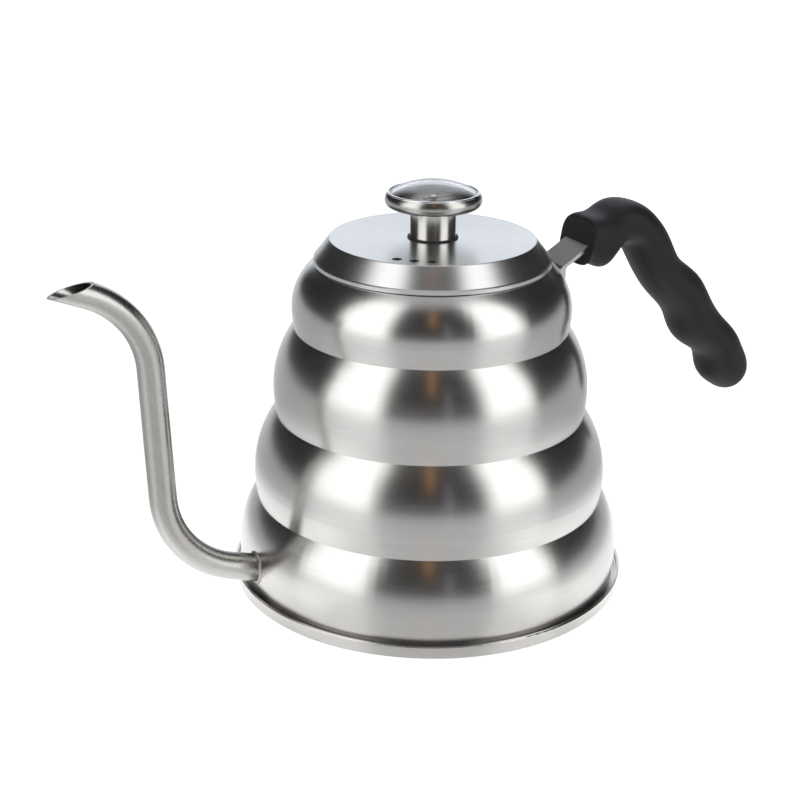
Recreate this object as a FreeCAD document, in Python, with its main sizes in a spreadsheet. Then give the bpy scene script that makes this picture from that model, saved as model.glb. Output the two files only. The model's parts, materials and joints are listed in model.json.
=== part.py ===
"""A stainless steel gooseneck pouring kettle with a dial thermometer in the lid's knob.

Frame: millimetres, +Z up, origin at the centre of the base on the table. The grip points
along +X and the spout along -X. Three things move: the kettle itself stays, the lid lifts
off with its thermometer, and the pointer turns over the dial.
"""
import FreeCAD, Part
import math
import os
import Sketcher
from FreeCAD import Placement, Rotation, Vector

UP = Vector(0, 0, 1)
Y_AXIS = Vector(0, 1, 0)

# Driving dimensions: alias, value in mm or degrees, note.
DIMENSIONS = [
    ("sheet_metal", 0.8, "wall of the pressed shells"),
    # The body's outline of revolution: four bulges between V-shaped creases.
    ("foot_radius", 69.3, "shell at its foot"),
    ("foot_height", 3.4, ""),
    ("bulge_one_radius", 69.9, "widest place of the lowest bulge"),
    ("bulge_one_height", 12.2, ""),
    ("crease_one_radius", 63.3, ""),
    ("crease_one_height", 32.5, ""),
    ("bulge_two_radius", 64.0, ""),
    ("bulge_two_height", 40.8, ""),
    ("crease_two_radius", 55.9, ""),
    ("crease_two_height", 63.8, ""),
    ("bulge_three_radius", 56.7, ""),
    ("bulge_three_height", 72.8, ""),
    ("crease_three_radius", 49.1, ""),
    ("crease_three_height", 95.1, ""),
    ("bulge_four_radius", 49.8, "widest place of the top bulge"),
    ("bulge_four_height", 102.0, ""),
    ("mouth_edge_radius", 41.7, "outer edge of the mouth"),
    ("mouth_edge_height", 118.1, "seat of the lid"),
    ("collar_bore", 38.4, "radius of the mouth's turned-in collar"),
    ("collar_depth", 4.6, ""),
    ("collar_round", 0.5, "rounding of the mouth's inner edge"),
    # The seam of the base.
    ("base_radius", 72.0, "outside of the crimped rim"),
    ("base_rim_height", 4.46, ""),
    ("base_rim_wall", 0.9, ""),
    ("base_land_height", 1.0, "shell's flange above the table"),
    ("flange_radius", 71.0, ""),
    ("flange_lip_height", 3.2, "upturned edge of the flange in the seam"),
    ("flange_lip_wall", 0.6, ""),
    ("base_rim_round", 0.35, "top of the rim"),
    ("base_corner_round", 0.5, "foot of the rim"),
    ("pan_bead_radius", 62.5, "stiffening bead pressed into the flat base"),
    ("pan_bead_height", 0.8, ""),
    ("pan_bead_crest", 1.5, "half width of the bead's flat crest"),
    ("pan_bead_foot", 2.5, "half width at the bead's foot"),
    ("pan_bead_spread", 0.4, "added to both on the upper face"),
    # The spout: root run, bend, riser, bend, tip run.
    ("spout_start_reach", 66.0, "start of the tube's centreline, inside the wall"),
    ("spout_start_height", 12.15, ""),
    ("spout_root_rise", 17.5, "degrees above level"),
    ("spout_root_run", 13.5, ""),
    ("spout_lower_bend", 34.0, "bend radius"),
    ("spout_riser_lean", 2.5, "degrees from upright"),
    ("spout_riser_run", 46.9, ""),
    ("spout_upper_bend", 32.0, "bend radius"),
    ("spout_tip_rise", 22.0, "degrees above level"),
    ("spout_tip_run", 17.0, "before the oblique cut"),
    ("spout_root_radius", 4.95, "tube outside at the root"),
    ("spout_tip_radius", 4.5, "tube outside at the tip"),
    ("spout_wall", 0.7, ""),
    ("spout_cut_reach", 129.75, "middle of the pouring opening"),
    ("spout_cut_height", 124.25, ""),
    ("spout_cut_fall", 12.7, "degrees that the opening falls towards the lip"),
    ("weld_width", 0.9, "bead around the spout's root"),
    ("weld_height", 0.55, ""),
    # The strap that carries the grip.
    ("strap_width", 15.2, ""),
    ("strap_thickness", 1.3, ""),
    ("strap_rise", 31.5, "degrees above level"),
    ("strap_leg_inside", 48.7, "flat of the leg before it is fitted to the shell"),
    ("strap_leg_outside", 51.2, ""),
    ("strap_leg_bottom", 96.5, ""),
    ("strap_bend_height", 111.3, "corner below the bend"),
    ("strap_tang_end", 75.0, "end of the tang inside the grip"),
    ("strap_bend_radius", 1.4, "inside the bend"),
    ("grip_face_break", 117.6, "height below which the grip's front leans back"),
    ("grip_face_lean", 24.0, "degrees"),
    ("slot_play", 0.1, "between the tang and its slot in the grip"),
    ("slot_depth", 30.0, "from the tang's end to beyond the grip's face"),
    ("tang_hole_reach", 68.0, "screw through the tang"),
    ("tang_hole_radius", 2.2, ""),
    # The screw that holds the grip.
    ("screw_radius", 2.0, "M4"),
    ("screw_head_radius", 3.8, ""),
    ("screw_head_height", 2.4, ""),
    ("screw_length", 10.0, "below the head"),
    ("screw_tip_bevel", 0.6, ""),
    ("screw_head_round", 1.2, ""),
    ("recess_arm", 2.2, "reach of the cross recess"),
    ("recess_half_width", 0.45, ""),
    ("recess_depth", 1.3, ""),
    ("screw_clearance", 0.15, "around the screw in the grip and the washer"),
    ("well_clearance", 0.3, "around the screw's head"),
    ("well_length", 20.0, "from the head's seat out of the grip"),
    ("screw_seat_depth", 6.0, "head's seat below the tang's middle"),
    ("washer_thickness", 0.9, ""),
    ("lock_washer_inset", 0.2, "inside the head's edge"),
    ("lock_washer_turn", 352, "degrees of ring beside the split"),
    ("insert_radius", 2.9, "brass insert in the grip"),
    ("insert_length", 3.0, ""),
    ("insert_pocket", 3.3, "depth of its pocket above the tang"),
    ("insert_groove", 0.4, "depth and half width of its groove"),
    # The lid.
    ("lid_top_height", 127.0, ""),
    ("lid_top_radius", 36.3, "edge of the flat top"),
    ("lid_lip_radius", 42.0, ""),
    ("lid_lip_bottom", 118.4, ""),
    ("lid_lip_top", 119.8, ""),
    ("lid_shoulder", 0.5, "flat shoulder above the lip"),
    ("lid_shoulder_rise", 0.35, ""),
    ("lid_lip_round", 0.3, ""),
    ("lid_edge_round", 0.6, "edge of the flat top"),
    ("cone_top_inset", 0.7, "cone's inner line inside the top's edge"),
    ("cone_foot_drop", 0.3, "cone's inner line below the lip's top"),
    ("lid_hole_radius", 5.2, "hole for the thermometer's stem"),
    ("skirt_radius", 38.0, "skirt that centres the lid in the mouth"),
    ("skirt_wall", 0.6, ""),
    ("skirt_bottom", 112.8, ""),
    ("skirt_flange", 2.2, "welding flange, along the cone"),
    ("skirt_flange_drop", 0.96, "thickness of the flange, measured upright"),
    ("skirt_corner_drop", 0.4, "more than the wall, in the corner"),
    ("vent_radius", 1.7, "steam holes"),
    ("vent_circle", 31.2, ""),
    ("vent_pitch", 11.1, "degrees between the steam holes"),
    ("vent_middle", -129.6, "degrees, direction of the middle hole"),
    # The knob and its thermometer.
    ("gasket_radius", 8.95, ""),
    ("gasket_thickness", 0.45, ""),
    ("gasket_round", 0.2, ""),
    ("neck_radius", 8.05, ""),
    ("case_bottom", 138.0, ""),
    ("case_radius", 17.05, ""),
    ("case_edge_height", 140.5, "widest place"),
    ("case_edge_round", 2.5, "rounding below the widest place"),
    ("case_top", 142.9, ""),
    ("case_lip_radius", 16.25, "outside of the lip at the top"),
    ("case_lip_wall", 0.45, ""),
    ("case_wall", 0.6, ""),
    ("bush_radius", 4.9, "threaded stem bush"),
    ("bush_bottom", 119.4, ""),
    ("bush_head_radius", 6.2, ""),
    ("washer_radius", 8.2, ""),
    ("lid_washer_thickness", 1.0, ""),
    ("nut_flats", 16.0, "across flats"),
    ("nut_height", 4.0, ""),
    ("dial_height", 139.1, "underside of the dial"),
    ("dial_radius", 15.4, ""),
    ("dial_thickness", 0.4, ""),
    ("dial_hole_radius", 1.0, ""),
    ("lens_gasket_width", 1.3, ""),
    ("lens_seat", 142.0, "underside of the glass"),
    ("lens_edge_radius", 15.7, ""),
    ("lens_edge_thickness", 0.9, ""),
    ("lens_dome_radius", 15.3, "foot of the dome"),
    ("lens_dome_foot", 143.1, ""),
    ("lens_top", 147.2, ""),
    ("lens_side_wall", 1.0, ""),
    ("lens_top_wall", 1.1, ""),
    ("bezel_bore", 15.4, ""),
    ("bezel_top", 143.4, ""),
    ("bezel_inset", 0.05, "inside the case's lip"),
    ("bezel_round", 0.35, ""),
    ("probe_radius", 2.5, ""),
    ("stem_play", 0.02, "between the stem and its bush"),
    ("probe_wall", 0.4, ""),
    ("probe_bottom", 38.0, ""),
    ("guide_bore", 0.6, ""),
    ("guide_length", 3.0, ""),
    ("lower_guide_height", 61.0, ""),
    ("upper_guide_height", 131.0, ""),
    ("coil_radius", 1.35, "middle of the bimetal strip"),
    ("coil_bottom", 41.0, ""),
    ("coil_length", 16.0, ""),
    ("coil_pitch", 1.6, ""),
    ("coil_strip_width", 1.0, ""),
    ("coil_strip_thickness", 0.3, ""),
    ("shaft_radius", 0.5, ""),
    ("shaft_bottom", 57.4, ""),
    ("hub_radius", 1.25, ""),
    ("hub_bottom", 139.9, ""),
    ("hub_top", 141.2, ""),
    ("hub_round", 0.25, ""),
    ("pointer_height", 140.2, ""),
    ("pointer_thickness", 0.25, ""),
    ("pointer_reach", 12.2, ""),
    ("pointer_tail", 4.0, ""),
    ("pointer_tail_half", 0.55, "half width at the tail"),
    ("pointer_tip_half", 0.12, "half width at the tip"),
    ("pointer_eye", 0.5, "ring around the hub"),
]

# Cross-sections of the grip: reach, height, slope of the centreline below level in degrees,
# half thickness, half width, squareness (2 is an ellipse, more is squarer).
GRIP_SECTIONS = [
    (60.4, 118.4, 10, 7.8, 10.8, 3.4),
    (66.2, 118.9, 5, 9.5, 11.3, 3.2),
    (71.6, 121.2, 2, 9.2, 11.6, 2.9),
    (77.0, 124.7, 8, 7.9, 11.6, 2.6),
    (83.1, 123.5, 25, 7.8, 11.5, 2.4),
    (86.9, 120.6, 42, 7.8, 11.4, 2.2),
    (90.6, 115.8, 54, 8.2, 11.3, 2.1),
    (94.3, 109.4, 55, 8.2, 11.2, 2.1),
    (97.5, 104.3, 55, 8.2, 11.0, 2.1),
    (102.4, 99.2, 55, 9.0, 10.9, 2.1),
    (108.0, 94.0, 55, 9.3, 11.0, 2.1),
    (111.9, 88.7, 55, 9.0, 11.0, 2.1),
    (116.1, 81.2, 55, 9.6, 11.0, 2.1),
    (121.2, 75.8, 55, 9.3, 10.9, 2.1),
    (128.0, 69.7, 55, 8.7, 10.9, 2.1),
    (131.2, 62.5, 55, 9.9, 10.6, 2.1),
    (134.3, 58.1, 55, 9.2, 9.9, 2.1),
    (136.7, 54.7, 55, 7.5, 8.2, 2.1),
    (138.2, 52.5, 55, 5.0, 5.6, 2.1),
]
GRIP_END = (139.2, 51.1)


class Size:
    """A size with its value and the expression that binds it to the sheet."""

    def __init__(self, value, text):
        self.value = value
        self.text = text

    @staticmethod
    def of(item):
        return item if isinstance(item, Size) else Size(float(item), repr(float(item)))

    def joined(self, other, value, sign):
        return Size(value, f"({self.text} {sign} {other.text})")

    def __add__(self, other):
        other = Size.of(other)
        return self.joined(other, self.value + other.value, "+")

    def __radd__(self, other):
        return Size.of(other) + self

    def __sub__(self, other):
        other = Size.of(other)
        return self.joined(other, self.value - other.value, "-")

    def __rsub__(self, other):
        return Size.of(other) - self

    def __mul__(self, other):
        other = Size.of(other)
        return self.joined(other, self.value * other.value, "*")

    def __rmul__(self, other):
        return Size.of(other) * self

    def __truediv__(self, other):
        other = Size.of(other)
        return self.joined(other, self.value / other.value, "/")

    def __neg__(self):
        return 0 - self


def cosine(angle):
    return Size(math.cos(math.radians(angle.value)), f"cos({angle.text})")


def sine(angle):
    return Size(math.sin(math.radians(angle.value)), f"sin({angle.text})")


doc = FreeCAD.newDocument("gooseneck_kettle")
sheet = doc.addObject("Spreadsheet::Sheet", "Sizes")
for row, (alias, value, note) in enumerate(DIMENSIONS, start=1):
    sheet.set(f"A{row}", alias)
    sheet.set(f"B{row}", str(value))
    sheet.set(f"C{row}", note)
    sheet.setAlias(f"B{row}", alias)
doc.recompute()

VALUES = {alias: value for alias, value, note in DIMENSIONS}


def size(alias):
    return Size(float(VALUES[alias]), f"Sizes.{alias}")


# ---------------------------------------------------------------- sketches and features

def origin_plane(body, role):
    return next(item for item in body.Origin.OriginFeatures if item.Role == role)


def new_body(label):
    body = doc.addObject("PartDesign::Body", label)
    body.Label = label
    return body


def new_sketch(body, plane="XZ_Plane", offset=None):
    """A sketch on one of the body's own origin planes."""
    sketch = body.newObject("Sketcher::SketchObject", "Sketch")
    sketch.AttachmentSupport = [(origin_plane(body, plane), "")]
    sketch.MapMode = "FlatFace"
    if offset is not None:
        sketch.AttachmentOffset = offset
    return sketch


def bind(sketch, constraint, amount):
    """Adds a dimension and ties it to the sheet."""
    index = sketch.addConstraint(constraint)
    sketch.setExpression(f"Constraints[{index}]", amount.text)


def place_point(sketch, edge, end, across, along):
    """Fixes a point of an edge at its distances from the sketch's origin."""
    if across.value == 0:
        sketch.addConstraint(Sketcher.Constraint("PointOnObject", edge, end, -2))
    else:
        bind(sketch, Sketcher.Constraint("DistanceX", -1, 1, edge, end, across.value), across)
    if along.value == 0:
        sketch.addConstraint(Sketcher.Constraint("PointOnObject", edge, end, -1))
    else:
        bind(sketch, Sketcher.Constraint("DistanceY", -1, 1, edge, end, along.value), along)


def arc_between(start, end, radius):
    """The minor arc from start to end: a positive radius turns left, a negative one right."""
    chord = end - start
    side = 1 if radius > 0 else -1
    rise = math.sqrt(max(radius * radius - chord.Length ** 2 / 4, 0))
    left = Vector(-chord.y, chord.x, 0).normalize()
    centre = (start + end) / 2 + left * rise * side
    first, last = (start, end) if side > 0 else (end, start)
    angles = [math.atan2(point.y - centre.y, point.x - centre.x) for point in (first, last)]
    return Part.ArcOfCircle(Part.Circle(centre, UP, abs(radius)), *angles)


def draw_outline(sketch, corners):
    """Draws a closed outline through corners (across, along) or (across, along, radius).

    A third item is the radius of the arc that arrives at the corner.
    """
    corners = [tuple(Size.of(item) for item in corner) for corner in corners]
    points = [Vector(corner[0].value, corner[1].value, 0) for corner in corners]
    edges = []
    for number, corner in enumerate(corners):
        start, end = points[number - 1], points[number]
        curved = len(corner) == 3
        shape = arc_between(start, end, corner[2].value) if curved else Part.LineSegment(start, end)
        backwards = curved and corner[2].value < 0
        edges.append((sketch.addGeometry(shape, False), backwards, corner))
    for number, (edge, backwards, corner) in enumerate(edges):
        next_edge, next_backwards, _ = edges[(number + 1) % len(edges)]
        end = 1 if backwards else 2
        start_of_next = 2 if next_backwards else 1
        sketch.addConstraint(Sketcher.Constraint("Coincident", edge, end, next_edge, start_of_next))
        place_point(sketch, edge, end, corner[0], corner[1])
        if len(corner) == 3:
            radius = corner[2] if corner[2].value > 0 else -corner[2]
            bind(sketch, Sketcher.Constraint("Radius", edge, radius.value), radius)


def draw_circle(sketch, radius, across=0, along=0):
    across, along = Size.of(across), Size.of(along)
    circle = Part.Circle(Vector(across.value, along.value, 0), UP, radius.value)
    edge = sketch.addGeometry(circle, False)
    bind(sketch, Sketcher.Constraint("Radius", edge, radius.value), radius)
    if across.value == 0 and along.value == 0:
        sketch.addConstraint(Sketcher.Constraint("Coincident", edge, 3, -1, 1))
    else:
        place_point(sketch, edge, 3, across, along)


def draw_hexagon(sketch, flats):
    """A regular hexagon about the sketch's origin, given by its width across flats."""
    corner = flats / 2 / cosine(Size.of(30))
    turns = [Size.of(60 * number) for number in range(6)]
    draw_outline(sketch, [(corner * cosine(turn), corner * sine(turn)) for turn in turns])


def add_feature(body, kind, **settings):
    feature = body.newObject(kind, kind.split("::")[1])
    for name, value in settings.items():
        if isinstance(value, Size):
            feature.setExpression(name, value.text)
        else:
            setattr(feature, name, value)
    return feature


def revolve(body, corners, kind="PartDesign::Revolution", angle=360):
    sketch = new_sketch(body)
    draw_outline(sketch, corners)
    return add_feature(body, kind, Profile=sketch, ReferenceAxis=(sketch, ["V_Axis"]), Angle=angle)


def turned(label, corners, angle=360):
    """A piece of revolution about the upright axis."""
    body = new_body(label)
    revolve(body, corners, angle=angle)
    return body


def round_edges(body, radius, chosen, kind="PartDesign::Fillet"):
    """Rounds or bevels the edges of the body's last feature that the test picks."""
    doc.recompute()
    base = body.Tip
    names = [f"Edge{number}" for number, edge in enumerate(base.Shape.Edges, start=1) if chosen(edge)]
    if not names:
        raise RuntimeError(f"{body.Label}: no edge to round")
    setting = "Radius" if kind.endswith("Fillet") else "Size"
    add_feature(body, kind, Base=(base, names), **{setting: radius})


def ring_at(radius, height, reach=0.02):
    """A test that picks circular edges about the Z axis at a radius and a height."""
    def chosen(edge):
        curve = edge.Curve
        if not isinstance(curve, Part.Circle):
            return False
        return abs(curve.Radius - radius.value) < reach and abs(curve.Center.z - height.value) < reach
    return chosen


def washer(label, outer, inner, bottom, top):
    """A plain ring."""
    return turned(label, [(inner, bottom), (outer, bottom), (outer, top), (inner, top)])


def bore_along(body, radius, start, direction, length):
    """Drills a round hole from a point in a direction."""
    drill = add_feature(body, "PartDesign::SubtractiveCylinder", Radius=radius, Height=length)
    drill.Placement = Placement(start, Rotation(UP, direction))
    return drill


# ---------------------------------------------------------------- the body's outline

WALL = size("sheet_metal")
NAMES = ("one", "two", "three", "four")
BULGES = [(size(f"bulge_{name}_radius"), size(f"bulge_{name}_height")) for name in NAMES]
CREASES = [(size("foot_radius"), size("foot_height"))]
CREASES += [(size(f"crease_{name}_radius"), size(f"crease_{name}_height")) for name in NAMES[:3]]
CREASES += [(size("mouth_edge_radius"), size("mouth_edge_height"))]


def arc_radius(bulge, crease):
    """Radius of the arc that is upright at the bulge and ends at the crease."""
    depth = bulge[0] - crease[0]
    rise = crease[1] - bulge[1]
    return (depth * depth + rise * rise) / (2 * depth)


def inside(bulge, crease, wall):
    """The crease's end of the arc, moved in by the wall's thickness."""
    radius = arc_radius(bulge, crease)
    across = (crease[0] - bulge[0] + radius) / radius
    along = (crease[1] - bulge[1]) / radius
    return crease[0] - wall * across, crease[1] - wall * along


def bulges_upward(first=0, last=3):
    """Arcs of the outside from one crease up to another."""
    corners = [CREASES[first]]
    for number in range(first, last + 1):
        below, bulge, above = CREASES[number], BULGES[number], CREASES[number + 1]
        corners.append((*bulge, arc_radius(bulge, below)))
        corners.append((*above, arc_radius(bulge, above)))
    return corners


def bulges_downward():
    """Arcs of the inside, from the mouth to the foot, rounded at the creases."""
    corners = [inside(BULGES[3], CREASES[4], WALL)]
    for number in range(3, -1, -1):
        below, bulge, above = CREASES[number], BULGES[number], CREASES[number + 1]
        corners.append((bulge[0] - WALL, bulge[1], WALL - arc_radius(bulge, above)))
        corners.append((*inside(bulge, below, WALL), WALL - arc_radius(bulge, below)))
        if number:
            corners.append((*inside(BULGES[number - 1], below, WALL), WALL))
    return corners


# ---------------------------------------------------------------- the spout's course

ROOT = Vector(-VALUES["spout_start_reach"], 0, VALUES["spout_start_height"])


def heading(rise):
    """Direction in the spout's plane: 0 is level towards the tip, 90 is straight up."""
    return Vector(-math.cos(math.radians(rise)), 0, math.sin(math.radians(rise)))


ROOT_HEADING = heading(VALUES["spout_root_rise"])
ROOT_DRILL_START = ROOT - ROOT_HEADING * 8
ROOT_DRILL_LENGTH = 30


def spout_course():
    """Runs and bends of the centreline as (kind, start, end, bend centre) in the XZ plane."""
    rises = [VALUES["spout_root_rise"], 90 - VALUES["spout_riser_lean"], VALUES["spout_tip_rise"]]
    runs = [VALUES["spout_root_run"], VALUES["spout_riser_run"], VALUES["spout_tip_run"]]
    bends = [VALUES["spout_lower_bend"], VALUES["spout_upper_bend"]]
    point, steps = ROOT, []
    for number, (rise, run) in enumerate(zip(rises, runs)):
        end = point + heading(rise) * run
        steps.append(("run", point, end, None))
        point = end
        if number < len(bends):
            side = 1 if rises[number + 1] > rise else -1
            centre = point + heading(rise + 90 * side) * bends[number]
            end = centre - heading(rises[number + 1] + 90 * side) * bends[number]
            steps.append(("bend", point, end, centre))
            point = end
    return steps


def flat(point):
    """A point of the XZ plane in a sketch's own coordinates."""
    return Vector(point.x, point.z, 0)


def spout_path(body):
    """The centreline: three straight runs joined by tangent bends."""
    sketch = new_sketch(body)
    joints = []
    for kind, start, end, centre in spout_course():
        if kind == "run":
            edge = sketch.addGeometry(Part.LineSegment(flat(start), flat(end)), False)
            joints.append((edge, 1, 2))
            continue
        radius = (flat(start) - flat(centre)).Length
        turn = (flat(end) - flat(start)).cross(flat(centre) - flat(start)).z
        signed = radius if turn > 0 else -radius
        edge = sketch.addGeometry(arc_between(flat(start), flat(end), signed), False)
        joints.append((edge, 1, 2) if turn > 0 else (edge, 2, 1))
    for (edge, _, end), (following, start, _) in zip(joints, joints[1:]):
        sketch.addConstraint(Sketcher.Constraint("Tangent", edge, end, following, start))
    place_point(sketch, 0, 1, -size("spout_start_reach"), size("spout_start_height"))
    for edge, name in ((0, "root"), (2, "riser"), (4, "tip")):
        run = size(f"spout_{name}_run")
        bind(sketch, Sketcher.Constraint("Distance", edge, run.value), run)
    for edge, name in ((1, "lower"), (3, "upper")):
        bend = size(f"spout_{name}_bend")
        bind(sketch, Sketcher.Constraint("Radius", edge, bend.value), bend)
    leans = [(0, 180 - size("spout_root_rise")), (2, 90 + size("spout_riser_lean")),
             (4, 180 - size("spout_tip_rise"))]
    for edge, angle in leans:
        index = sketch.addConstraint(Sketcher.Constraint("Angle", edge, math.radians(angle.value)))
        sketch.setExpression(f"Constraints[{index}]", f"({angle.text}) * 1 deg")
    return sketch


def section_at(body, point, direction, radius):
    """A circle square to the centreline."""
    sketch = new_sketch(body, "XY_Plane", Placement(point, Rotation(UP, direction)))
    draw_circle(sketch, radius)
    return sketch


def swept_tube(body, kind, root_radius, tip_radius):
    """A round bar along the spout's course that tapers from root to tip."""
    path = spout_path(body)
    tip = spout_course()[-1][2]
    first = section_at(body, ROOT, ROOT_HEADING, root_radius)
    last = section_at(body, tip, heading(VALUES["spout_tip_rise"]), tip_radius)
    course = (path, [f"Edge{number}" for number in range(1, len(spout_course()) + 1)])
    return add_feature(body, kind, Profile=first, Spine=course, Sections=[(last, [""])],
                       Transformation="Multisection", Mode="Standard")


# ---------------------------------------------------------------- kettle body

def make_body_shell():
    """The pressed body: collar at the mouth, four bulges, and a flange for the base seam."""
    flange, land = size("flange_radius"), size("base_land_height")
    lip = size("flange_lip_height")
    foot_inside = CREASES[0][0] - WALL
    seat = size("mouth_edge_height")
    bore = size("collar_bore")
    collar_bottom = seat - size("collar_depth")
    body = new_body("body_shell")
    lip_inside = flange - size("flange_lip_wall")
    corners = [(foot_inside, land), (flange, land), (flange, lip), (lip_inside, lip),
               (lip_inside, land + WALL), (CREASES[0][0], land + WALL)]
    corners += bulges_upward()
    corners += [(bore, seat), (bore, collar_bottom), (bore + WALL, collar_bottom),
                (bore + WALL, seat - WALL)]
    corners += bulges_downward()
    revolve(body, corners)
    round_edges(body, size("collar_round"), ring_at(bore, seat))
    bore_radius = size("spout_root_radius") - size("spout_wall")
    bore_along(body, bore_radius, ROOT_DRILL_START, ROOT_HEADING, ROOT_DRILL_LENGTH)
    return body


def make_bottom_pan():
    """The base pan: flat, with a pressed ring that stiffens it and a crimped rim."""
    rim, wall = size("base_radius"), size("base_rim_wall")
    sheet, top = size("base_land_height"), size("base_rim_height")
    middle, rise = size("pan_bead_radius"), size("pan_bead_height")
    crest, foot, spread = size("pan_bead_crest"), size("pan_bead_foot"), size("pan_bead_spread")
    crest_above, foot_above = crest + spread, foot + spread
    body = turned("bottom_pan", [
        (0, 0), (middle - foot, 0), (middle - crest, rise), (middle + crest, rise), (middle + foot, 0),
        (rim, 0), (rim, top), (rim - wall, top), (rim - wall, sheet), (middle + foot_above, sheet),
        (middle + crest_above, sheet + rise), (middle - crest_above, sheet + rise),
        (middle - foot_above, sheet), (0, sheet)])
    round_edges(body, size("base_rim_round"), ring_at(rim, top))
    round_edges(body, size("base_corner_round"), ring_at(rim, Size.of(0)))
    return body


def solid_lobe(body, kind, first, last, extra=None):
    """The space inside the body's outside, between two creases."""
    corners = bulges_upward(first, last)
    if extra is not None:
        corners = [(corner[0] + extra, *corner[1:]) for corner in corners]
    corners.append((0, corners[-1][1]))
    corners.append((0, corners[0][1]))
    return revolve(body, corners, kind)


def make_spout_tube():
    """The bent, tapered tube, fitted to the wall and cut aslant at the lip."""
    wall = size("spout_wall")
    body = new_body("spout_tube")
    swept_tube(body, "PartDesign::AdditivePipe", size("spout_root_radius"), size("spout_tip_radius"))
    swept_tube(body, "PartDesign::SubtractivePipe", size("spout_root_radius") - wall,
               size("spout_tip_radius") - wall)
    cut = new_sketch(body)
    slope = math.tan(math.radians(VALUES["spout_cut_fall"]))
    middle = Vector(-VALUES["spout_cut_reach"], VALUES["spout_cut_height"], 0)
    side = 20
    corners = [(middle.x + side, middle.y + side * slope), (middle.x - side, middle.y - side * slope),
               (middle.x - side, middle.y + side), (middle.x + side, middle.y + side)]
    draw_outline(cut, corners)
    add_feature(body, "PartDesign::Pocket", Profile=cut, Type=1, Midplane=True)
    solid_lobe(body, "PartDesign::Groove", 0, 0)
    return body


def make_spout_weld():
    """The bead that joins the spout to the wall."""
    lead, length = 2, 14
    body = new_body("weld_blank")
    ring = add_feature(body, "PartDesign::AdditiveCylinder", Height=length,
                       Radius=size("spout_root_radius") + size("weld_width"))
    ring.Placement = Placement(ROOT - ROOT_HEADING * lead, Rotation(UP, ROOT_HEADING))
    bore_along(body, size("spout_root_radius"), ROOT_DRILL_START, ROOT_HEADING, ROOT_DRILL_LENGTH)
    solid_lobe(body, "PartDesign::Groove", 0, 0)
    doc.recompute()
    outside = new_body("weld_limit")
    solid_lobe(outside, "PartDesign::Revolution", 0, 0, size("weld_height"))
    bead = doc.addObject("Part::Common", "weld_bead")
    bead.Base = outside
    bead.Tool = body
    bead.Label = "spout_weld"
    return bead


STRAP_ANGLE = VALUES["strap_rise"]
STRAP_RUN = Vector(math.cos(math.radians(STRAP_ANGLE)), 0, math.sin(math.radians(STRAP_ANGLE)))
STRAP_DOWN = Vector(STRAP_RUN.z, 0, -STRAP_RUN.x)


def strap_middle(reach):
    """A point in the middle of the strap's thickness at a distance along +X."""
    corner = Vector(VALUES["strap_leg_outside"], 0, VALUES["strap_bend_height"])
    start = corner - STRAP_DOWN * (VALUES["strap_thickness"] / 2)
    return start + STRAP_RUN * ((reach - start.x) / STRAP_RUN.x)


def make_handle_strap():
    """A steel strip bent to a leg on the shell and a tang that enters the grip."""
    rise, thick = size("strap_rise"), size("strap_thickness")
    inner, outer = size("strap_leg_inside"), size("strap_leg_outside")
    bottom, bend, end = size("strap_leg_bottom"), size("strap_bend_height"), size("strap_tang_end")
    slope = sine(rise) / cosine(rise)
    end_height = bend + (end - outer) * slope
    top_left = bend + thick / cosine(rise) - (outer - inner) * slope
    body = new_body("handle_strap")
    sketch = new_sketch(body)
    draw_outline(sketch, [
        (inner, bottom), (outer, bottom), (outer, bend), (end, end_height),
        (end - thick * sine(rise), end_height + thick * cosine(rise)), (inner, top_left)])
    add_feature(body, "PartDesign::Pad", Profile=sketch, Length=size("strap_width"), Midplane=True)

    def upright_at(reach, height):
        def chosen(edge):
            middle = edge.BoundBox.Center
            level = edge.BoundBox.YLength > 1
            return level and abs(middle.x - reach.value) < 0.05 and abs(middle.z - height.value) < 0.05
        return chosen
    inner_bend = size("strap_bend_radius")
    round_edges(body, inner_bend, upright_at(outer, bend))
    round_edges(body, inner_bend + thick, upright_at(inner, top_left))
    solid_lobe(body, "PartDesign::Groove", 3, 3)
    drill = 10
    start = strap_middle(VALUES["tang_hole_reach"]) - STRAP_DOWN * (drill / 2)
    bore_along(body, size("tang_hole_radius"), start, STRAP_DOWN, drill)
    return body


def grip_section(reach, height, slope, thickness, width, squareness):
    """A closed smooth outline square to the grip's centreline."""
    turn = math.radians(slope)
    across = Vector(math.sin(turn), 0, math.cos(turn))
    count = 24
    points = []
    for number in range(count):
        angle = 2 * math.pi * number / count
        up, side = math.cos(angle), math.sin(angle)
        up = math.copysign(abs(up) ** (2 / squareness), up)
        side = math.copysign(abs(side) ** (2 / squareness), side)
        points.append(Vector(reach, 0, height) + across * (thickness * up) + Y_AXIS * (width * side))
    curve = Part.BSplineCurve()
    curve.interpolate(points, PeriodicFlag=True)
    return Part.Wire([curve.toShape()])


SCREW_CENTRE = strap_middle(VALUES["tang_hole_reach"])
SCREW_SEAT = SCREW_CENTRE + STRAP_DOWN * VALUES["screw_seat_depth"]


def lower_face_cut():
    """The wedge cut from the grip's front below the strap, where the face leans back."""
    side = 30.0
    wedge = Part.makeBox(side, side, side, Vector(-side, -side / 2, -side))
    corner = Vector(GRIP_SECTIONS[0][0], 0, VALUES["grip_face_break"])
    wedge.Placement = Placement(corner, Rotation(Y_AXIS, -VALUES["grip_face_lean"]))
    return wedge


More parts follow.
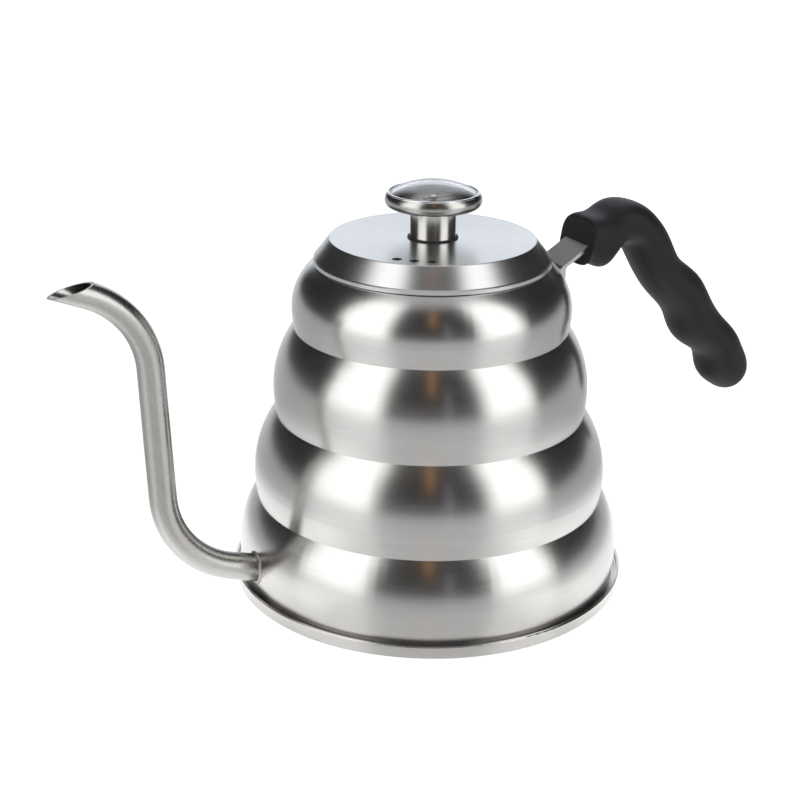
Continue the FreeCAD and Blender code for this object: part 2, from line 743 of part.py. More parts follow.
def make_handle_grip():
    """The moulded grip with a slot for the tang, a screw hole and a pocket for the insert."""
    wires = [grip_section(*section) for section in GRIP_SECTIONS]
    end = Part.Vertex(Vector(GRIP_END[0], 0, GRIP_END[1]))
    shape = Part.makeLoft(wires + [end], True, False)
    width, thick = VALUES["strap_width"], VALUES["strap_thickness"]
    play, depth = VALUES["slot_play"], VALUES["slot_depth"]
    corner = Vector(play - depth, -width / 2 - play, -thick / 2 - play / 2)
    slot = Part.makeBox(depth, width + 2 * play, thick + play, corner)
    slot.Placement = Placement(strap_middle(VALUES["strap_tang_end"]), Rotation(Y_AXIS, -STRAP_ANGLE))
    shape = shape.cut(slot)
    overlap = 0.5
    hole = Part.makeCylinder(VALUES["screw_radius"] + VALUES["screw_clearance"],
                             VALUES["screw_seat_depth"] + overlap, SCREW_CENTRE, STRAP_DOWN)
    well = Part.makeCylinder(VALUES["screw_head_radius"] + VALUES["well_clearance"],
                             VALUES["well_length"], SCREW_SEAT, STRAP_DOWN)
    above = VALUES["strap_thickness"] / 2 + VALUES["slot_play"]
    pocket = Part.makeCylinder(VALUES["insert_radius"], above + VALUES["insert_pocket"],
                               SCREW_CENTRE, -STRAP_DOWN)
    shape = shape.cut(hole).cut(well).cut(pocket).cut(lower_face_cut())
    grip = doc.addObject("Part::Feature", "handle_grip")
    grip.Shape = shape
    grip.Placement = Placement()
    return grip


def screw_placement(offset):
    """Places a turned piece whose own Z axis points up the screw's axis."""
    return Placement(SCREW_SEAT + STRAP_DOWN * offset, Rotation(UP, -STRAP_DOWN))


def make_handle_screw():
    """Pan head screw with a cross recess."""
    head, radius = size("screw_head_radius"), size("screw_radius")
    height, length, bevel = size("screw_head_height"), size("screw_length"), size("screw_tip_bevel")
    body = turned("handle_screw", [
        (0, -height), (head, -height), (head, 0), (radius, 0), (radius, length - bevel),
        (radius - bevel, length), (0, length)])
    round_edges(body, size("screw_head_round"), ring_at(head, -height))
    slot = new_sketch(body, "XY_Plane", Placement(Vector(0, 0, -VALUES["screw_head_height"]), Rotation()))
    arm, half = size("recess_arm"), size("recess_half_width")
    draw_outline(slot, [(arm, -half), (arm, half), (half, half), (half, arm), (-half, arm),
                        (-half, half), (-arm, half), (-arm, -half), (-half, -half), (-half, -arm),
                        (half, -arm), (half, -half)])
    add_feature(body, "PartDesign::Pocket", Profile=slot, Length=size("recess_depth"), Reversed=True)
    body.Placement = screw_placement(VALUES["washer_thickness"])
    return body


def make_handle_lock_washer():
    """Split spring washer under the screw's head."""
    inner = size("screw_radius") + size("screw_clearance")
    outer = size("screw_head_radius") - size("lock_washer_inset")
    thick = size("washer_thickness")
    outline = [(inner, 0), (outer, 0), (outer, thick), (inner, thick)]
    body = turned("handle_lock_washer", outline, size("lock_washer_turn"))
    body.Placement = screw_placement(VALUES["washer_thickness"])
    return body


def make_handle_insert():
    """Threaded brass insert moulded into the grip above the tang."""
    outer, inner = size("insert_radius"), size("screw_radius")
    length = size("insert_length")
    groove = size("insert_groove")
    body = turned("handle_insert", [
        (inner, 0), (outer, 0), (outer, length / 2 - groove), (outer - groove, length / 2 - groove),
        (outer - groove, length / 2 + groove), (outer, length / 2 + groove), (outer, length),
        (inner, length)])
    start = SCREW_CENTRE - STRAP_DOWN * (VALUES["strap_thickness"] / 2 + VALUES["slot_play"])
    body.Placement = Placement(start, Rotation(UP, -STRAP_DOWN))
    return body


# ---------------------------------------------------------------- lid

def lid_cone():
    """Ends of the cone's inner line, under the flat top and above the lip."""
    under_top = (size("lid_top_radius") - size("cone_top_inset"), size("lid_top_height") - WALL)
    under_lip = (size("lid_lip_radius") - WALL, size("lid_lip_top") - size("cone_foot_drop"))
    return under_top, under_lip


def make_lid_shell():
    """The pressed lid: flat top, cone, short lip; a stem hole and three steam holes."""
    top, edge = size("lid_top_height"), size("lid_top_radius")
    lip, low = size("lid_lip_radius"), size("lid_lip_bottom")
    hole = size("lid_hole_radius")
    lip_top = size("lid_lip_top")
    shoulder = (lip - size("lid_shoulder"), lip_top + size("lid_shoulder_rise"))
    under_top, under_lip = lid_cone()
    body = turned("lid_shell", [
        (hole, top - WALL), under_top, under_lip, (lip - WALL, low), (lip, low), (lip, lip_top),
        shoulder, (edge, top), (hole, top)])
    round_edges(body, size("lid_lip_round"), ring_at(lip, low))
    round_edges(body, size("lid_edge_round"), ring_at(edge, top))
    vent = new_sketch(body, "XY_Plane")
    turn = size("vent_middle") - size("vent_pitch")
    circle = size("vent_circle")
    draw_circle(vent, size("vent_radius"), circle * cosine(turn), circle * sine(turn))
    pocket = add_feature(body, "PartDesign::Pocket", Profile=vent, Type=1, Reversed=True)
    doc.recompute()
    pattern = add_feature(body, "PartDesign::PolarPattern", Originals=[pocket], Occurrences=3,
                          Axis=(vent, ["N_Axis"]), Angle=size("vent_pitch") * 2)
    body.Tip = pattern
    return body


def make_lid_skirt():
    """The ring under the lid that centres it in the collar."""
    outer, wall = size("skirt_radius"), size("skirt_wall")
    bottom = size("skirt_bottom")
    (near, high), (far, low) = lid_cone()
    fall = (low - high) / (far - near)
    meet = high + (outer - near) * fall
    flange, drop = size("skirt_flange"), size("skirt_flange_drop")
    corner = meet - wall - size("skirt_corner_drop")
    return turned("lid_skirt", [
        (outer - wall, bottom), (outer, bottom), (outer, meet), (outer - flange, meet - flange * fall),
        (outer - flange, meet - flange * fall - drop), (outer - wall, corner)])


def make_clamp_nut():
    """Hexagon nut that clamps the thermometer to the lid."""
    body = new_body("clamp_nut")
    top = VALUES["lid_top_height"] - VALUES["sheet_metal"] - VALUES["lid_washer_thickness"]
    start = Placement(Vector(0, 0, top - VALUES["nut_height"]), Rotation())
    sketch = new_sketch(body, "XY_Plane", start)
    draw_hexagon(sketch, size("nut_flats"))
    draw_circle(sketch, size("bush_radius"))
    add_feature(body, "PartDesign::Pad", Profile=sketch, Length=size("nut_height"))
    return body


def make_thermometer_case():
    """The cup of the dial, which is also the lid's knob."""
    bore, wall = size("bush_radius"), size("case_wall")
    rim, low, edge = size("case_radius"), size("case_bottom"), size("case_edge_height")
    big, lip, top = size("case_edge_round"), size("case_lip_radius"), size("case_top")
    lean = arc_radius((rim, edge), (lip, top))
    return turned("thermometer_case", [
        (bore, low), (rim - big, low), (rim, edge, big), (lip, top, lean),
        (lip - size("case_lip_wall"), top), (rim - wall, edge), (rim - big, low + wall, wall - big),
        (bore, low + wall)])


def make_lens():
    """Domed window with a flat edge."""
    edge, seat = size("lens_edge_radius"), size("lens_seat")
    thick = size("lens_edge_thickness")
    dome, foot, top = size("lens_dome_radius"), size("lens_dome_foot"), size("lens_top")
    hollow, under = dome - size("lens_side_wall"), top - size("lens_top_wall")

    def sphere(radius, rise):
        return (radius * radius + rise * rise) / (2 * rise)
    inner_rise = under - seat
    return turned("lens", [
        (edge, seat), (edge, seat + thick), (dome, seat + thick), (dome, foot),
        (0, top, sphere(dome, top - foot)), (0, under), (hollow, seat, -sphere(hollow, inner_rise))])


def make_bimetal_coil():
    """The bimetal strip, wound as a helix around the probe's axis."""
    pitch, length = VALUES["coil_pitch"], VALUES["coil_length"]
    radius, bottom = VALUES["coil_radius"], VALUES["coil_bottom"]
    half_width, half_thick = VALUES["coil_strip_width"] / 2, VALUES["coil_strip_thickness"] / 2
    helix = Part.makeHelix(pitch, length, radius)
    corners = [Vector(radius + across * half_thick, 0, along * half_width)
               for across, along in ((-1, -1), (1, -1), (1, 1), (-1, 1), (-1, -1))]
    strip = Part.Wire(helix).makePipeShell([Part.makePolygon(corners)], True, True)
    coil = doc.addObject("Part::Feature", "bimetal_coil")
    coil.Shape = strip
    coil.Placement = Placement(Vector(0, 0, bottom), Rotation())
    return coil


def make_probe_tube():
    """The stem with a rounded closed end."""
    outer, wall = size("probe_radius"), size("probe_wall")
    bottom, top = size("probe_bottom"), size("dial_height")
    inner = outer - wall
    return turned("probe_tube", [
        (0, bottom), (outer, bottom + outer, outer), (outer, top), (inner, top),
        (inner, bottom + outer), (0, bottom + wall, -inner)])


def make_guide_bushes():
    """Two bushes that hold the pointer's shaft in the stem."""
    inner, outer = size("guide_bore"), size("probe_radius") - size("probe_wall")
    length = size("guide_length")
    rings = []
    for name in ("lower", "upper"):
        start = size(f"{name}_guide_height")
        rings.append(washer(f"{name}_guide", outer, inner, start, start + length))
    group = doc.addObject("Part::Compound", "guide_bushes")
    group.Links = rings
    return group


def make_lid_parts():
    top = size("lid_top_height")
    hole, neck = size("lid_hole_radius"), size("neck_radius")
    gasket_top = top + size("gasket_thickness")
    bush, case_bottom = size("bush_radius"), size("case_bottom")
    dial = size("dial_height")
    dial_top = dial + size("dial_thickness")
    seat = size("lens_seat")
    lens_top = seat + size("lens_edge_thickness")
    stem = size("probe_radius") + size("stem_play")
    case_floor = case_bottom + size("case_wall")
    washer_bottom = top - WALL - size("lid_washer_thickness")
    bezel_outer = size("case_lip_radius") - size("bezel_inset")
    neck_body = washer("knob_neck", neck, bush, gasket_top, case_bottom)
    gasket = washer("neck_gasket", size("gasket_radius"), bush, top, gasket_top)
    round_edges(gasket, size("gasket_round"), ring_at(size("gasket_radius"), gasket_top))
    bezel = turned("bezel_ring", [
        (size("bezel_bore"), lens_top), (bezel_outer, lens_top),
        (bezel_outer, size("bezel_top")), (size("bezel_bore"), size("bezel_top"))])
    round_edges(bezel, size("bezel_round"), ring_at(bezel_outer, size("bezel_top")))
    gasket_outer = size("dial_radius")
    gasket_inner = gasket_outer - size("lens_gasket_width")
    lens_gasket = washer("lens_gasket", gasket_outer, gasket_inner, dial_top, seat)
    bush_body = turned("stem_bush", [
        (stem, size("bush_bottom")), (bush, size("bush_bottom")), (bush, case_floor),
        (size("bush_head_radius"), case_floor), (size("bush_head_radius"), dial), (stem, dial)])
    return [
        make_lid_shell(), make_lid_skirt(), gasket, neck_body,
        washer("lid_washer", size("washer_radius"), hole, washer_bottom, top - WALL),
        make_clamp_nut(), bush_body, make_thermometer_case(), bezel, lens_gasket, make_lens(),
        washer("dial_face", size("dial_radius"), size("dial_hole_radius"), dial, dial_top),
        make_probe_tube(), make_guide_bushes(), make_bimetal_coil()]


# ---------------------------------------------------------------- pointer

def make_pointer():
    """Thin tapered hand with a tail and a round eye."""
    body = new_body("pointer")
    reach, tail = size("pointer_reach"), size("pointer_tail")
    tip_half, tail_half = size("pointer_tip_half"), size("pointer_tail_half")
    height = Placement(Vector(0, 0, VALUES["pointer_height"]), Rotation())
    hand = new_sketch(body, "XY_Plane", height)
    draw_outline(hand, [(-tail, -tail_half), (reach, -tip_half), (reach, tip_half), (-tail, tail_half)])
    add_feature(body, "PartDesign::Pad", Profile=hand, Length=size("pointer_thickness"))
    eye = new_sketch(body, "XY_Plane", height)
    draw_circle(eye, size("hub_radius") + size("pointer_eye"))
    add_feature(body, "PartDesign::Pad", Profile=eye, Length=size("pointer_thickness"))
    drill = 3
    start = Vector(0, 0, VALUES["pointer_height"] - drill / 2)
    bore_along(body, size("hub_radius"), start, UP, drill)
    return body


def make_pointer_parts():
    bottom, top = size("hub_bottom"), size("hub_top")
    hub = washer("pointer_hub", size("hub_radius"), size("shaft_radius"), bottom, top)
    round_edges(hub, size("hub_round"), ring_at(size("hub_radius"), size("hub_top")))
    shaft = turned("pointer_shaft", [
        (0, size("shaft_bottom")), (size("shaft_radius"), size("shaft_bottom")),
        (size("shaft_radius"), size("hub_top")), (0, size("hub_top"))])
    return [make_pointer(), hub, shaft]


# ---------------------------------------------------------------- build, check, write

def check_and_write(pieces):
    """Checks every object and every shape before any file is written."""
    doc.recompute()
    for item in doc.Objects:
        if "Invalid" in item.State or "Error" in item.State:
            raise RuntimeError(f"{item.Label} ({item.Name}) failed: {item.State}")
    for piece in pieces:
        if piece.Shape.isNull() or not piece.Shape.isValid():
            raise RuntimeError(f"{piece.Label} has no valid shape")
    os.makedirs("parts", exist_ok=True)
    for piece in pieces:
        piece.Shape.exportStep(f"parts/{piece.Label}.step")
        box = piece.Shape.BoundBox
        print(f"{piece.Label:20s} solids {len(piece.Shape.Solids)} volume {piece.Shape.Volume:10.1f}"
              f" z {box.ZMin:7.2f} {box.ZMax:7.2f} x {box.XMin:8.2f} {box.XMax:8.2f}")


def main():
    body_parts = [
        make_body_shell(), make_bottom_pan(), make_spout_tube(), make_spout_weld(),
        make_handle_strap(), make_handle_grip(), make_handle_screw(), make_handle_lock_washer(),
        make_handle_insert()]
    check_and_write(body_parts + make_lid_parts() + make_pointer_parts())


main()
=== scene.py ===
"""Looks of a gooseneck kettle with a dial thermometer, over its packed frame."""
import json
import math

import bpy
from mathutils import Matrix, Vector


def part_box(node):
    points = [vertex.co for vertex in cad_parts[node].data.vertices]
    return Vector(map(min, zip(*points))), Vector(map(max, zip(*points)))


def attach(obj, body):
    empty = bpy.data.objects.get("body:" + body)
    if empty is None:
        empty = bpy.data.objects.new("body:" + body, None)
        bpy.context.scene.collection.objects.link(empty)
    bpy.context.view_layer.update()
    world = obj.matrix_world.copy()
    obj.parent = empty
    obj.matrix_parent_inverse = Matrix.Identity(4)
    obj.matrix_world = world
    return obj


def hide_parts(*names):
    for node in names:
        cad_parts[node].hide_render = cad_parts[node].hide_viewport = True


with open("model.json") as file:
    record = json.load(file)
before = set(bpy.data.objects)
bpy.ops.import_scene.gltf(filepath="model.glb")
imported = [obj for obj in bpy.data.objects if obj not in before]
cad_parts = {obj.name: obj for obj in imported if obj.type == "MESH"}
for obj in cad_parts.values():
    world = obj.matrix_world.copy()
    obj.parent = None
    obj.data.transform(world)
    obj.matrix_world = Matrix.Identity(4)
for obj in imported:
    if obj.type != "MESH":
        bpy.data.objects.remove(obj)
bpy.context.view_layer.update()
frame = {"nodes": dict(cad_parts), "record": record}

MM = 0.001
BLACK = (0.0, 0.0, 0.0)
WHITE = (1.0, 1.0, 1.0)

bl_info = {
    "name": "Gooseneck kettle",
    "version": (1, 0, 0),
    "blender": (4, 5, 0),
    "location": "3D View > Sidebar > Kettle",
    "description": "Finishes and details of a steel pouring kettle with a dial in its lid",
    "category": "Object",
}


# ------------------------------------------------------------------ settings

def colour(name, text, default):
    return bpy.props.FloatVectorProperty(
        name=name, description=text, default=default, size=3, min=0.0, max=1.0, subtype="COLOR")


def length(name, text, default):
    return bpy.props.FloatProperty(
        name=name, description=text, default=default * MM, min=0.0, precision=5, unit="LENGTH")


def share(name, text, default, most=1.0):
    return bpy.props.FloatProperty(
        name=name, description=text, default=default, min=0.0, max=most, subtype="FACTOR")


class KettleMetal(bpy.types.PropertyGroup):
    """Colours and brushing of the steel and brass parts."""

    steel: colour("Steel", "Colour of the brushed stainless sheet", (0.80, 0.785, 0.76))
    lid: colour("Lid steel", "Colour of the lid's sheet", (0.80, 0.80, 0.79))
    strap: colour("Strap steel", "Colour of the grip's strap", (0.56, 0.55, 0.50))
    spout: colour("Spout steel", "Colour of the drawn tube and the dial's case", (0.60, 0.59, 0.56))
    brass: colour("Brass", "Colour of the brass parts", (0.72, 0.50, 0.22))
    heat: colour("Heat tint", "Straw colour beside the weld", (0.60, 0.52, 0.42))
    roughness: share("Roughness", "Roughness of the brushed sheet", 0.25)
    stretch: share("Stretch", "How far highlights stretch across the brushing", 0.66)
    brush: length("Brush line", "Width of one brush line", 0.32)
    scratch: length("Scratch depth", "Depth of the brush lines", 0.005)


class KettleSofter(bpy.types.PropertyGroup):
    """Colours of the moulded, rubber, painted and printed parts."""

    grip: colour("Grip", "Colour of the moulded grip", (0.006, 0.006, 0.010))
    grain: length("Grain", "Size of the grip's fine grain", 0.45)
    rubber: colour("Rubber", "Colour of the gaskets", (0.012, 0.012, 0.012))
    dial: colour("Dial", "Ground of the dial", (0.42, 0.38, 0.33))
    ink: colour("Ink", "Marks and numbers of the dial", (0.02, 0.02, 0.022))


class KettleDial(bpy.types.PropertyGroup):
    """Scale of the thermometer."""

    per_degree: bpy.props.FloatProperty(
        name="Turn per degree", description="Turn of the pointer for one degree Celsius",
        default=math.radians(2.7), unit="ROTATION")
    rest: bpy.props.IntProperty(
        name="Rest", description="Temperature at which the pointer rests along +X", default=20)
    step: bpy.props.IntProperty(
        name="Step", description="Degrees Celsius between small marks", default=2, min=1)
    digits: length("Digit height", "Height of the numbers", 2.3)


class KettleWeld(bpy.types.PropertyGroup):
    """Bead of weld around the spout's root."""

    bead: length("Bead", "Thickness of the bead", 0.95)
    ripples: bpy.props.IntProperty(
        name="Ripples", description="Ripples around the bead", default=44, min=8)
    ripple: share("Ripple", "Depth of a ripple as a share of the bead", 0.16)


class KettleStage(bpy.types.PropertyGroup):
    """Camera, floor and light."""

    place: bpy.props.FloatVectorProperty(
        name="Camera", description="Place of the camera", size=3, subtype="XYZ", unit="LENGTH",
        default=(-0.2545, -0.4687, 0.2715))
    turn: bpy.props.FloatProperty(
        name="Turn", description="Turn of the camera about the upright axis",
        default=math.radians(-27.337), unit="ROTATION")
    tilt: bpy.props.FloatProperty(
        name="Tilt", description="Angle of the camera below level",
        default=math.radians(21.108), unit="ROTATION")
    roll: bpy.props.FloatProperty(
        name="Roll", description="Roll of the camera about its line of sight",
        default=math.radians(0.653), unit="ROTATION")
    lens: bpy.props.FloatProperty(
        name="Focal length", description="Focal length in millimetres", default=70.62, min=10.0)
    floor: colour("Floor", "Colour of the floor", (0.93, 0.93, 0.93))
    glow: share("Floor glow", "Evenness of the floor's light", 0.70)
    mirror: share("Table gloss", "How much of the studio the table top mirrors", 0.2)
    light: share("Light", "Strength of the studio's bright walls", 1.65, 5.0)
    shade: share("Shade", "Strength of the studio's dark gaps", 0.02)
    ceiling: share("Ceiling", "Strength of the ceiling", 0.5)


GROUPS = {
    "kettle_metal": KettleMetal, "kettle_softer": KettleSofter, "kettle_dial": KettleDial,
    "kettle_weld": KettleWeld, "kettle_stage": KettleStage,
}


# ------------------------------------------------------------------ shader maths

class Value:
    """A socket whose arithmetic adds Math nodes."""

    def __init__(self, finish, socket):
        self.finish = finish
        self.socket = socket

    def maths(self, operation, *others):
        return self.finish.node("Math", {"operation": operation}, dict(enumerate((self, *others))))

    def __add__(self, other):
        return self.maths("ADD", other)

    def __mul__(self, other):
        return self.maths("MULTIPLY", other)

    def __sub__(self, other):
        return self.maths("SUBTRACT", other)

    def __truediv__(self, other):
        return self.maths("DIVIDE", other)

    def __pow__(self, other):
        return self.maths("POWER", other)

    __radd__ = __add__
    __rmul__ = __mul__

    def __rsub__(self, other):
        return self.finish.node("Math", {"operation": "SUBTRACT"}, {0: other, 1: self})


class Finish:
    """A material or world whose nodes are being laid."""

    def __init__(self, owner):
        owner.use_nodes = True
        self.owner = owner
        self.tree = owner.node_tree
        self.tree.nodes.clear()

    def node(self, kind, settings=None, inputs=None, output=0):
        """Adds a node: its settings first, then its inputs' values or links."""
        made = self.tree.nodes.new("ShaderNode" + kind)
        for name, value in (settings or {}).items():
            if name == "stops":
                self.set_stops(made.color_ramp, value)
            else:
                setattr(made, name, value)
        for key, value in (inputs or {}).items():
            if isinstance(value, Value):
                self.tree.links.new(value.socket, made.inputs[key])
            else:
                made.inputs[key].default_value = value
        if output is None:
            return made
        return Value(self, made.outputs[output])

    def set_stops(self, ramp, stops):
        while len(ramp.elements) < len(stops):
            ramp.elements.new(1.0)
        for element, (place, shade) in zip(ramp.elements, stops):
            element.position = place
            element.color = (*shade, 1.0)

    def place(self):
        """Object coordinates as three values."""
        point = self.node("TexCoord", output="Object")
        return [self.node("SeparateXYZ", inputs={0: point}, output=axis) for axis in "XYZ"]

    def blend(self, factor, first, second):
        """Mixes two colours."""
        pair = [item if isinstance(item, Value) else (*item, 1.0) for item in (first, second)]
        return self.node("Mix", {"data_type": "RGBA"}, {0: factor, 6: pair[0], 7: pair[1]}, 2)

    def noise(self, point, scale, detail=2.0, roughness=0.5, far=None):
        inputs = {"Vector": point, "Scale": scale, "Detail": detail, "Roughness": roughness}
        settings = {}
        if far is not None:
            settings["noise_dimensions"] = "4D"
            inputs["W"] = far
        return self.node("TexNoise", settings, inputs)

    def bump(self, height, depth, strength=1.0):
        return self.node("Bump", inputs={"Height": height, "Distance": depth, "Strength": strength})

    def principled(self, **inputs):
        """Ends the material with one Principled surface."""
        named = {key.replace("_", " "): value for key, value in inputs.items()}
        for key, value in named.items():
            if isinstance(value, tuple) and len(value) == 3:
                named[key] = (*value, 1.0)
        surface = self.node("BsdfPrincipled", inputs=named)
        self.node("OutputMaterial", inputs={"Surface": surface}, output=None)
        return self.owner


def new_finish(name):
    return Finish(bpy.data.materials.new(name))


def mixed(shade, other, factor):
    return tuple(a + (b - a) * factor for a, b in zip(shade, other))


# ------------------------------------------------------------------ finishes

# Fixed colours of small parts, and of the moulded grip where hands wear it.
PLATED = (0.62, 0.62, 0.61)
POLISHED = (0.86, 0.86, 0.85)
SPRING = (0.30, 0.30, 0.31)
BIMETAL = (0.50, 0.44, 0.36)
HAND_WORN = (0.3, 0.28, 0.26)
WARM_SHEEN = (1.0, 0.92, 0.86)

# Roughness of every finish but the brushed sheet.
GLOSS = {
    "bezel": 0.07, "screw": 0.14, "neck": 0.17, "brass": 0.20, "probe": 0.24, "nut": 0.26,
    "spout": 0.27, "strap": 0.30, "bimetal": 0.30, "dial": 0.30, "spring": 0.34, "weld": 0.36,
    "pointer": 0.42, "ink": 0.50, "grip": 0.52, "rubber": 0.62,
}

# Depth of the surface of moulded, painted and clear parts.
GRIP_GRAIN = 0.03 * MM
RUBBER_GRAIN = 0.02 * MM
PAINT_PEEL = 0.005 * MM
WIPE_MARKS = 0.004 * MM
WINDOW_WAVES = 0.12 * MM
SCALE_OF_WELD = 0.02 * MM

# How many lines long a drawn line is along X, Y and Z.
UPRIGHT = (1.0, 1.0, 14.0)
ALONG = (16.0, 1.0, 1.0)
ALL_WAYS = (1, 1, 1)
STRAP_RISE = math.radians(31.5)
BROAD = 9


def turned_metal(name, shade, roughness, line, depth, stretch=0.0, streak=3.0):
    """Metal whose fine lines run round the upright axis, as brushing or turning leaves them."""
    finish = new_finish(name)
    x, y, z = finish.place()
    radius = (x * x + y * y + 1e-9) ** 0.5
    round_x = x / radius * streak
    round_y = y / radius * streak
    fine = finish.node("CombineXYZ", inputs={0: round_x, 1: round_y, 2: radius / line})
    lines = finish.noise(fine, scale=1.0, detail=3.0, roughness=0.65, far=z / line)
    wide = line * BROAD
    broad = finish.node("CombineXYZ", inputs={0: round_x, 1: round_y, 2: radius / wide})
    bands = finish.noise(broad, scale=1.0, detail=2.0, roughness=0.5, far=z / wide)
    point = finish.node("TexCoord", output="Object")
    smudge = finish.noise(point, scale=28.0, detail=3.0, roughness=0.6)
    tone = lines * 0.55 + bands * 0.3 + smudge * 0.15
    darker = mixed(shade, BLACK, 0.24)
    lighter = mixed(shade, WHITE, 0.20)
    rough = tone * (roughness * 0.3) + roughness * 0.85
    return finish.principled(
        Base_Color=finish.blend(tone, darker, lighter), Metallic=1.0, Roughness=rough,
        Anisotropic=stretch, Anisotropic_Rotation=0.25,
        Normal=finish.bump(lines * 0.85 + bands * 0.15, depth))


def drawn_metal(name, shade, roughness, line, depth, lengths, turn=0.0):
    """Metal with straight lines; lengths says how many lines long they are along X, Y and Z."""
    finish = new_finish(name)
    point = finish.node("TexCoord", output="Object")
    scale = tuple(1.0 / (line * count) for count in lengths)
    settled = finish.node("Mapping", {"vector_type": "POINT"}, {
        "Vector": finish.node("Mapping", inputs={"Vector": point, "Rotation": (0.0, turn, 0.0)}),
        "Scale": scale})
    lines = finish.noise(settled, scale=1.0, detail=3.0, roughness=0.6)
    smudge = finish.noise(point, scale=60.0, detail=3.0, roughness=0.6)
    tone = lines * 0.6 + smudge * 0.4
    rough = tone * (roughness * 0.5) + roughness * 0.75
    darker = mixed(shade, BLACK, 0.18)
    lighter = mixed(shade, WHITE, 0.14)
    return finish.principled(
        Base_Color=finish.blend(tone, darker, lighter), Metallic=1.0, Roughness=rough,
        Normal=finish.bump(lines, depth))


def polished_metal(name, shade, roughness):
    """Smooth plated metal with faint wiping marks."""
    finish = new_finish(name)
    point = finish.node("TexCoord", output="Object")
    wipes = finish.noise(point, scale=260.0, detail=4.0, roughness=0.6)
    return finish.principled(
        Base_Color=finish.blend(wipes, mixed(shade, BLACK, 0.08), shade), Metallic=1.0,
        Roughness=wipes * roughness + roughness * 0.5, Normal=finish.bump(wipes, WIPE_MARKS))


def moulded(name, shade, grain, roughness, depth):
    """Matte moulded resin or rubber with a fine grain and slight handling sheen."""
    finish = new_finish(name)
    point = finish.node("TexCoord", output="Object")
    pits = finish.node("TexVoronoi", inputs={"Vector": point, "Scale": 1.0 / grain})
    fine = finish.noise(point, scale=1.6 / grain, detail=2.0, roughness=0.5)
    worn = finish.noise(point, scale=42.0, detail=3.0, roughness=0.55)
    rough = worn * 0.14 + fine * 0.08 + (roughness - 0.11)
    return finish.principled(
        Base_Color=finish.blend(worn * 0.7 + fine * 0.3, mixed(shade, BLACK, 0.3),
                                mixed(shade, HAND_WORN, 0.05)),
        Roughness=rough, Specular_IOR_Level=0.36, Sheen_Weight=0.10, Sheen_Roughness=0.4,
        Sheen_Tint=WARM_SHEEN,
        Normal=finish.bump(pits * 0.6 + fine * 0.4, depth))


def painted(name, shade, roughness):
    """Thin satin paint with a faint orange peel."""
    finish = new_finish(name)
    point = finish.node("TexCoord", output="Object")
    peel = finish.noise(point, scale=1500.0, detail=2.0, roughness=0.5)
    cloud = finish.noise(point, scale=90.0, detail=2.0, roughness=0.5)
    return finish.principled(
        Base_Color=finish.blend(cloud, mixed(shade, BLACK, 0.08), mixed(shade, WHITE, 0.04)),
        Roughness=peel * 0.1 + roughness, Normal=finish.bump(peel, PAINT_PEEL))


def window(name):
    """Clear pressed window of the dial."""
    finish = new_finish(name)
    point = finish.node("TexCoord", output="Object")
    ripple = finish.noise(point, scale=55.0, detail=1.0, roughness=0.4)
    dust = finish.noise(point, scale=900.0, detail=2.0, roughness=0.5)
    return finish.principled(
        Base_Color=WHITE, Roughness=dust * 0.03, IOR=1.49, Transmission_Weight=1.0,
        Coat_Weight=0.4, Coat_IOR=2.0, Coat_Roughness=0.0,
        Normal=finish.bump(ripple, WINDOW_WAVES))


def finish_all(slots, material):
    """Gives a finish to every CAD node that uses one of the record's slots."""
    for row in frame["record"]["subparts"]:
        if row["material_slot"] in slots:
            materials = frame["nodes"][row["node"]].data.materials
            for number in range(len(materials)):
                materials[number] = material


# ------------------------------------------------------------------ modelling helpers

class Modelling:
    """Edit mode on one new object, from its primitive to its finished, settled mesh."""

    def __init__(self, name, primitive, **settings):
        if bpy.context.object and bpy.context.object.mode != "OBJECT":
            bpy.ops.object.mode_set(mode="OBJECT")
        bpy.ops.object.select_all(action="DESELECT")
        primitive(**settings)
        self.object = bpy.context.object
        self.object.name = name
        bpy.ops.object.transform_apply(location=True, rotation=True, scale=True)

    def __enter__(self):
        bpy.ops.object.mode_set(mode="EDIT")
        return self

    def __exit__(self, *problem):
        bpy.ops.object.mode_set(mode="OBJECT")

    def select(self, chosen):
        """Selects the vertices whose place passes a test."""
        bpy.ops.mesh.select_all(action="DESELECT")
        bpy.ops.object.mode_set(mode="OBJECT")
        found = 0
        for vertex in self.object.data.vertices:
            vertex.select = bool(chosen(vertex.co))
            found += vertex.select
        bpy.ops.object.mode_set(mode="EDIT")
        if not found:
            raise RuntimeError(f"{self.object.name}: nothing to select")

    def settle(self):
        """Closes doubles and turns every face outwards."""
        bpy.ops.mesh.select_all(action="SELECT")
        bpy.ops.mesh.remove_doubles(threshold=1e-7)
        bpy.ops.mesh.normals_make_consistent(inside=False)


def hand_over(piece, body, slot, material, *replaced, angle=30.0):
    """Shades a finished piece, gives it its material, ties it to its body and hides the CAD parts
    that it stands for; the slot is not used.
    """
    bpy.ops.object.select_all(action="DESELECT")
    piece.select_set(True)
    bpy.context.view_layer.objects.active = piece
    bpy.ops.object.shade_smooth_by_angle(angle=math.radians(angle))
    piece.data.materials.clear()
    piece.data.materials.append(material)
    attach(piece, body)
    if replaced:
        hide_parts(*replaced)


# ------------------------------------------------------------------ operators

